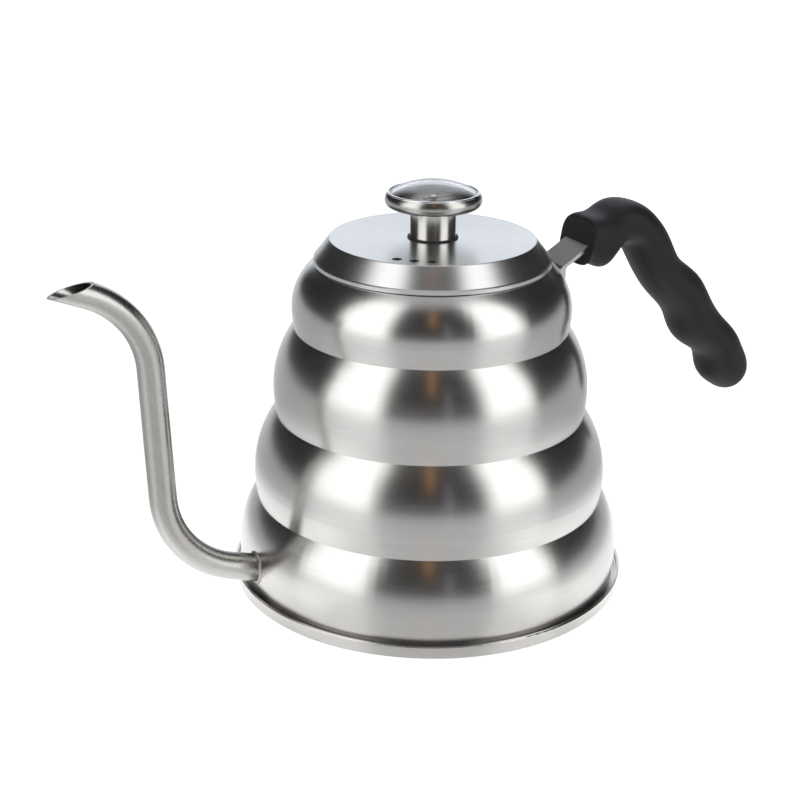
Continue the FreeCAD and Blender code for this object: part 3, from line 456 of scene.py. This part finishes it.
class KETTLE_OT_metal(bpy.types.Operator):
    """Brushed, turned, drawn and polished finishes of the metal parts."""

    bl_idname = "kettle.metal"
    bl_label = "Metal finishes"

    def execute(self, context):
        metal = context.scene.kettle_metal
        steel, lid, strap, spout, brass = (
            tuple(shade) for shade in (metal.steel, metal.lid, metal.strap, metal.spout, metal.brass))
        rough, stretch = metal.roughness, metal.stretch
        line, depth = metal.brush, metal.scratch
        turned = [
            (["body_steel"], "body_brushed", steel, rough, line, depth, stretch),
            (["pan_steel"], "pan_satin", steel, rough, line, depth, stretch),
            (["lid_steel"], "lid_brushed", lid, rough * 1.15, line, depth / 3, 0.45),
            (["skirt_steel"], "skirt_satin", steel, rough, line, depth),
            (["case_steel"], "case_satin", spout, rough, line, depth / 2, 0.3),
            (["neck_steel"], "neck_turned", steel, GLOSS["neck"], line / 2, depth / 2),
            (["nut_steel", "bush_steel"], "turned_steel", steel, GLOSS["nut"], line, depth),
            (["insert_brass", "guide_brass", "hub_brass"], "turned_brass", brass, GLOSS["brass"],
             line / 2, depth / 2),
        ]
        drawn = [
            (["spout_steel"], "spout_satin", spout, GLOSS["spout"], line, depth, UPRIGHT),
            (["weld_steel"], "weld_plain", strap, GLOSS["weld"], line, depth, ALL_WAYS),
            (["strap_steel"], "strap_satin", strap, GLOSS["strap"], line, depth, ALONG, STRAP_RISE),
            (["probe_steel", "shaft_steel"], "drawn_tube", steel, GLOSS["probe"], line / 2, depth / 2,
             UPRIGHT),
            (["spring_steel"], "spring", SPRING, GLOSS["spring"], line, depth, ALONG),
            (["bimetal"], "bimetal_strip", BIMETAL, GLOSS["bimetal"], line, depth, ALONG),
        ]
        for slots, *settings in turned:
            finish_all(slots, turned_metal(*settings))
        for slots, *settings in drawn:
            finish_all(slots, drawn_metal(*settings))
        finish_all(["bezel_steel"], polished_metal("bezel_polished", POLISHED, GLOSS["bezel"]))
        finish_all(["screw_steel"], polished_metal("screw_plated", PLATED, GLOSS["screw"]))
        return {"FINISHED"}


class KETTLE_OT_softer(bpy.types.Operator):
    """Moulded, rubber, painted and clear finishes."""

    bl_idname = "kettle.softer"
    bl_label = "Grip, gaskets, dial and window"

    def execute(self, context):
        softer = context.scene.kettle_softer
        grip, rubber, dial, ink = (
            tuple(shade) for shade in (softer.grip, softer.rubber, softer.dial, softer.ink))
        finish_all(["grip_black"], moulded(
            "grip_matte", grip, softer.grain, GLOSS["grip"], GRIP_GRAIN))
        finish_all(["gasket_rubber"], moulded(
            "gasket_matte", rubber, softer.grain, GLOSS["rubber"], RUBBER_GRAIN))
        finish_all(["dial_paint"], turned_metal(
            "dial_ground", dial, GLOSS["dial"], 0.3 * MM, 0.004 * MM, 0.5))
        finish_all(["pointer_paint"], painted("pointer_black", ink, GLOSS["pointer"]))
        finish_all(["window_glass"], window("window_clear"))
        return {"FINISHED"}


# The lowest bulge and the spout's root, as the CAD has them: the bulge's widest radius and its
# height, the depth and reach of its curve above and below that, and the slope of the tube.
BULGE_RADIUS = 69.9 * MM
BULGE_HEIGHT = 12.2 * MM
BULGE_ABOVE = (6.6 * MM, 20.3 * MM)
BULGE_BELOW = (0.6 * MM, 8.8 * MM)
ROOT_SLOPE = math.radians(17.5)

# How far the CAD's collar stands off the tube, and the middle of the bead.
COLLAR = 0.9 * MM
BEAD_SEAT = 0.25 * MM
STATIONS_PER_RIPPLE = 4


class KETTLE_OT_weld(bpy.types.Operator):
    """Rippled bead of weld around the spout's root."""

    bl_idname = "kettle.weld"
    bl_label = "Weld bead"

    def execute(self, context):
        weld, metal = context.scene.kettle_weld, context.scene.kettle_metal
        low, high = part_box("spout_weld")
        centre_z = (low.z + high.z) / 2
        reach = (high.y - low.y) / 2 - COLLAR + BEAD_SEAT
        stations = weld.ripples * STATIONS_PER_RIPPLE
        spacing = reach * 2 * math.pi / stations
        with Modelling("weld_bead", bpy.ops.mesh.primitive_torus_add, major_segments=stations,
                       minor_segments=10, major_radius=reach, minor_radius=weld.bead / 2,
                       location=(0, 0, 0), rotation=(0, math.pi / 2, 0)) as bead:
            for number in range(stations):
                turn = 2 * math.pi * number / stations
                centre = Vector((0, reach * math.sin(turn), reach * math.cos(turn)))
                ahead = Vector((0, centre.z, -centre.y)).normalized()
                bead.select(lambda point, c=centre, a=ahead: abs((point - c).dot(a)) < spacing * 0.4
                            and (point - c).length < weld.bead)
                phase = number % STATIONS_PER_RIPPLE
                swell = 1.0 + weld.ripple * (1.0 if phase == 1 else -0.6 if phase == 3 else 0.0)
                bpy.ops.transform.resize(value=(swell, swell, swell), center_override=tuple(centre))
                height = centre.z / math.cos(ROOT_SLOPE)
                wall = BULGE_RADIUS - math.sqrt(BULGE_RADIUS ** 2 - centre.y ** 2)
                wall += bulge_wall_fall(height + centre_z - BULGE_HEIGHT)
                bpy.ops.transform.translate(value=(wall, 0, height - centre.z))
            bpy.ops.mesh.select_all(action="SELECT")
            bpy.ops.transform.translate(value=(-BULGE_RADIUS, 0, centre_z))
            bead.settle()
        finish = new_finish("weld_tinted")
        point = finish.node("TexCoord", output="Object")
        scale = finish.noise(point, scale=1800.0, detail=3.0, roughness=0.6)
        patch = finish.noise(point, scale=420.0, detail=2.0, roughness=0.5)
        tint = finish.blend(patch, tuple(metal.heat), mixed(metal.steel, BLACK, 0.12))
        material = finish.principled(
            Base_Color=tint, Metallic=1.0, Roughness=scale * 0.2 + 0.24,
            Normal=finish.bump(scale, SCALE_OF_WELD))
        hand_over(bead.object, "kettle", "weld_steel", material, "spout_weld", angle=60.0)
        return {"FINISHED"}


def bulge_wall_fall(rise):
    """How far the lowest bulge falls inwards at a height above its widest place."""
    depth, reach = BULGE_ABOVE if rise > 0 else BULGE_BELOW
    radius = (depth ** 2 + reach ** 2) / (2 * depth)
    return radius - math.sqrt(radius ** 2 - rise ** 2)


# Marks of the scale: every so many degrees Celsius, their length and width.
MARKS = [
    (20, 2.6 * MM, 0.34 * MM),
    (10, 1.9 * MM, 0.24 * MM),
    (1, 1.2 * MM, 0.14 * MM),
]
HOTTEST = 100
NUMBERED = 20
MARK_MARGIN = 1.7 * MM
NUMBER_MARGIN = 6.1 * MM
UNIT_PLACE = -4.6 * MM
PRINT_THICKNESS = 0.05 * MM
READER = math.radians(180 + 9)


class KETTLE_OT_dial(bpy.types.Operator):
    """Marks and numbers of the dial."""

    bl_idname = "kettle.dial"
    bl_label = "Dial scale"

    def execute(self, context):
        dial, softer = context.scene.kettle_dial, context.scene.kettle_softer
        low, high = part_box("dial_face")
        ground, edge = high.z, high.x
        ink = painted("dial_ink", tuple(softer.ink), GLOSS["ink"])
        middle = ground + PRINT_THICKNESS / 2
        marks = []
        for number, degree in enumerate(range(0, HOTTEST + 1, dial.step)):
            turn = (degree - dial.rest) * dial.per_degree
            long, wide = next(size for every, *size in MARKS if degree % every == 0)
            reach = edge - MARK_MARGIN - long / 2
            with Modelling(f"dial_mark_{number}", bpy.ops.mesh.primitive_cube_add, size=1.0,
                           location=(0, 0, 0), scale=(long, wide, PRINT_THICKNESS)) as mark:
                mark.select(lambda point: point.x < 0)
                bpy.ops.transform.resize(value=(1, 0.7, 1), center_override=(0, 0, 0))
                bpy.ops.mesh.select_all(action="SELECT")
                bpy.ops.mesh.bevel(offset=0.02 * MM, segments=1, affect="EDGES")
                bpy.ops.transform.translate(value=(reach, 0, middle))
                bpy.ops.transform.rotate(value=turn, orient_axis="Z", center_override=(0, 0, 0))
            marks.append(mark.object)
        reach = edge - NUMBER_MARGIN
        for degree in range(0, HOTTEST + 1, NUMBERED):
            turn = (degree - dial.rest) * dial.per_degree
            place = (reach * math.cos(turn), -reach * math.sin(turn), middle)
            marks.append(self.number(str(degree), place, dial.digits))
        marks.append(self.number("°C", (0.0, UNIT_PLACE, middle), dial.digits))
        bpy.ops.object.select_all(action="DESELECT")
        for piece in marks:
            piece.select_set(True)
        bpy.context.view_layer.objects.active = marks[0]
        bpy.ops.object.join()
        marks[0].name = "dial_scale"
        hand_over(marks[0], "lid", "pointer_paint", ink)
        return {"FINISHED"}

    def number(self, text, place, size):
        """One number, upright for a reader who stands at the gap in the scale."""
        bpy.ops.object.select_all(action="DESELECT")
        bpy.ops.object.text_add(location=(0, 0, 0))
        lettering = bpy.context.object.data
        lettering.body = text
        lettering.size = size
        lettering.align_x = "CENTER"
        lettering.align_y = "CENTER"
        lettering.extrude = PRINT_THICKNESS / 2
        bpy.ops.object.convert(target="MESH")
        piece = bpy.context.object
        piece.rotation_euler = (0, 0, READER)
        piece.location = place
        bpy.ops.object.transform_apply(location=True, rotation=True, scale=True)
        return piece


COOL = (0.93, 0.98, 1.05)
AMBER = (1.0, 0.52, 0.20)
VIOLET = (0.88, 0.86, 1.05)

# Lamps: degrees to the right of the camera, half width, height above level, half height,
# level, tint.
LAMPS = [
    (1.5, 3.6, 44, 22, 0.52, AMBER),
    (13.5, 2.6, 14, 26, 0.28, VIOLET),
]

# Table: its size, the share of its glow and the roughness that the steel sees, and the level of
# that glow in front of the kettle, close beside it and further out.
FLOOR_RADIUS = 6.0
SEEN_GLOW = 0.45
TABLE_ROUGHNESS = 0.22
IN_FRONT = 0.72
BESIDE = (0.11, 3.2)
FURTHER_OUT = (0.19, 0.35)

# Height, as a share of a right angle, over which the walls turn into the ceiling.
CEILING_FROM = 0.60
CEILING_TO = 0.85


class KETTLE_OT_stage(bpy.types.Operator):
    """Camera, pale floor and soft studio light."""

    bl_idname = "kettle.stage"
    bl_label = "Stage"

    def execute(self, context):
        stage = context.scene.kettle_stage
        self.camera(context, stage)
        self.floor(stage)
        self.studio(context, stage)
        context.scene.view_settings.view_transform = "Standard"
        return {"FINISHED"}

    def camera(self, context, stage):
        bpy.ops.object.select_all(action="DESELECT")
        bpy.ops.object.camera_add(location=(0, 0, 0))
        camera = context.object
        camera.name = "camera"
        camera.data.lens = stage.lens
        camera.data.sensor_width = 36.0
        camera.data.clip_start = 0.01
        turn = Matrix.Rotation(stage.turn, 4, "Z")
        tilt = Matrix.Rotation(math.pi / 2 - stage.tilt, 4, "X")
        place = Matrix.Translation(stage.place)
        camera.matrix_world = place @ turn @ tilt @ Matrix.Rotation(stage.roll, 4, "Z")
        context.scene.camera = camera

    def floor(self, stage):
        with Modelling("floor", bpy.ops.mesh.primitive_circle_add, vertices=96, radius=FLOOR_RADIUS,
                       fill_type="NGON", location=(0, 0, 0)) as floor:
            bpy.ops.mesh.select_all(action="SELECT")
            bpy.ops.mesh.inset(thickness=FLOOR_RADIUS / 3)
        finish = new_finish("floor_paper")
        point = finish.node("TexCoord", output="Object")
        paper = finish.noise(point, scale=900.0, detail=2.0, roughness=0.5)
        shade = tuple(stage.floor)
        white = (*WHITE, 1.0)
        base = finish.blend(paper, mixed(shade, WHITE, 0.1), shade)
        pale = finish.node("BsdfPrincipled", inputs={
            "Base Color": base, "Roughness": 0.8, "Emission Color": white,
            "Emission Strength": stage.glow})
        dimmer = finish.node("BsdfPrincipled", inputs={
            "Base Color": base, "Roughness": 0.8, "Emission Color": self.table_glow(finish, stage),
            "Emission Strength": stage.glow * SEEN_GLOW})
        gloss = finish.node("BsdfAnisotropic", inputs={"Color": white, "Roughness": TABLE_ROUGHNESS})
        mirrored = finish.node("MixShader", inputs={0: stage.mirror, 1: dimmer, 2: gloss})
        seen = finish.node("LightPath", output="Is Camera Ray")
        both = finish.node("MixShader", inputs={0: seen, 1: mirrored, 2: pale})
        finish.node("OutputMaterial", inputs={"Surface": both}, output=None)
        floor.object.data.materials.append(finish.owner)

    def table_glow(self, finish, stage):
        """Glow painted on the table for the steel to mirror, painted light: bright beside the base,
        dark further out.
        """
        x, y, _ = finish.place()
        facing = Vector((stage.place[0], stage.place[1], 0)).normalized()
        radius = (x * x + y * y + 1e-9) ** 0.5
        sideways = (x * -facing.y + y * facing.x).maths("ABSOLUTE") / radius
        beside = finish.node("MapRange", inputs={
            "Value": radius, "From Min": BESIDE[0], "From Max": FURTHER_OUT[0],
            "To Min": BESIDE[1], "To Max": FURTHER_OUT[1]})
        beside_share = finish.node("MapRange", inputs={
            "Value": sideways, "From Min": 0.55, "From Max": 0.92})
        level = beside * beside_share + (1.0 - beside_share) * IN_FRONT
        return finish.node("CombineColor", inputs={0: level, 1: level, 2: level})

    def studio(self, context, stage):
        """Bright walls and dark gaps around the object, white behind it for the camera."""
        world = bpy.data.worlds.new("studio")
        context.scene.world = world
        finish = Finish(world)
        point = finish.node("TexCoord", output="Generated")
        x, y, z = [finish.node("SeparateXYZ", inputs={0: point}, output=axis) for axis in "XYZ"]
        facing = Vector((stage.place[0], stage.place[1], 0)).normalized()
        toward = x * facing.x + y * facing.y
        right = x * -facing.y + y * facing.x
        around = right.maths("ARCTAN2", toward) / (2 * math.pi) + 0.5
        bright, dark = stage.light, stage.shade
        walls = finish.node("ValToRGB", {"stops": [
            ((angle + 180) / 360, tuple(part * level for part in tint))
            for angle, level, tint in studio_walls(bright, dark)]}, {0: around})
        height = z.maths("ARCSINE") / (math.pi / 2)
        above = finish.node("MapRange", {"interpolation_type": "SMOOTHSTEP"}, {
            "Value": height, "From Min": CEILING_FROM, "From Max": CEILING_TO})
        sky = finish.blend(above, walls, (stage.ceiling, stage.ceiling, stage.ceiling * 1.04))
        for angle, half, rise, half_rise, level, tint in LAMPS:
            beside = window_of(around, (angle + 180) / 360, half / 360)
            upward = window_of(height, rise / 90, half_rise / 90)
            sky = finish.blend(beside * upward, sky, tuple(part * level for part in tint))
        seen = finish.node("LightPath", output="Is Camera Ray")
        light = finish.node("Background", inputs={"Color": sky})
        white = finish.node("Background", inputs={"Color": (*WHITE, 1.0)})
        both = finish.node("MixShader", inputs={0: seen, 1: light, 2: white})
        finish.node("OutputWorld", inputs={"Surface": both}, output=None)


def window_of(value, middle, half):
    """One near the middle, falling to nothing at the half width, with a soft edge."""
    offset = (value - middle).maths("ABSOLUTE")
    rise = (1.0 - offset / half) * 1.8
    return rise.maths("MINIMUM", 1.0).maths("MAXIMUM", 0.0)


def studio_walls(bright, dark):
    """Levels around the studio: degrees to the right of the camera, level, tint."""
    back = bright * 0.62
    return [
        (-180, back, COOL), (-162, back, COOL), (-150, dark, WHITE),
        (-84, dark, WHITE), (-75, bright * 0.9, WHITE), (-55, bright, WHITE),
        (-39, bright, WHITE), (-29, dark, WHITE), (34, dark, WHITE),
        (46, bright, WHITE), (75, bright, WHITE), (84, dark, WHITE),
        (150, dark, WHITE), (162, back, COOL), (180, back, COOL),
    ]


# ------------------------------------------------------------------ panel and registration

OPERATORS = [KETTLE_OT_metal, KETTLE_OT_softer, KETTLE_OT_weld, KETTLE_OT_dial, KETTLE_OT_stage]


class KETTLE_PT_build(bpy.types.Panel):
    """Settings and steps of the kettle."""

    bl_label = "Gooseneck kettle"
    bl_idname = "KETTLE_PT_build"
    bl_space_type = "VIEW_3D"
    bl_region_type = "UI"
    bl_category = "Kettle"

    def draw(self, context):
        for name, group in GROUPS.items():
            box = self.layout.box()
            box.label(text=group.__doc__)
            for setting in group.__annotations__:
                box.prop(getattr(context.scene, name), setting)
        for operator in OPERATORS:
            self.layout.operator(operator.bl_idname)


CLASSES = [*GROUPS.values(), *OPERATORS, KETTLE_PT_build]


def register():
    for item in CLASSES:
        bpy.utils.register_class(item)
    for name, group in GROUPS.items():
        setattr(bpy.types.Scene, name, bpy.props.PointerProperty(type=group))


def unregister():
    for name in GROUPS:
        delattr(bpy.types.Scene, name)
    for item in reversed(CLASSES):
        bpy.utils.unregister_class(item)


def main():
    """Builds every piece in order."""
    register()
    bpy.ops.kettle.metal()
    bpy.ops.kettle.softer()
    bpy.ops.kettle.weld()
    bpy.ops.kettle.dial()
    bpy.ops.kettle.stage()


if __name__ == "__main__":
    main()
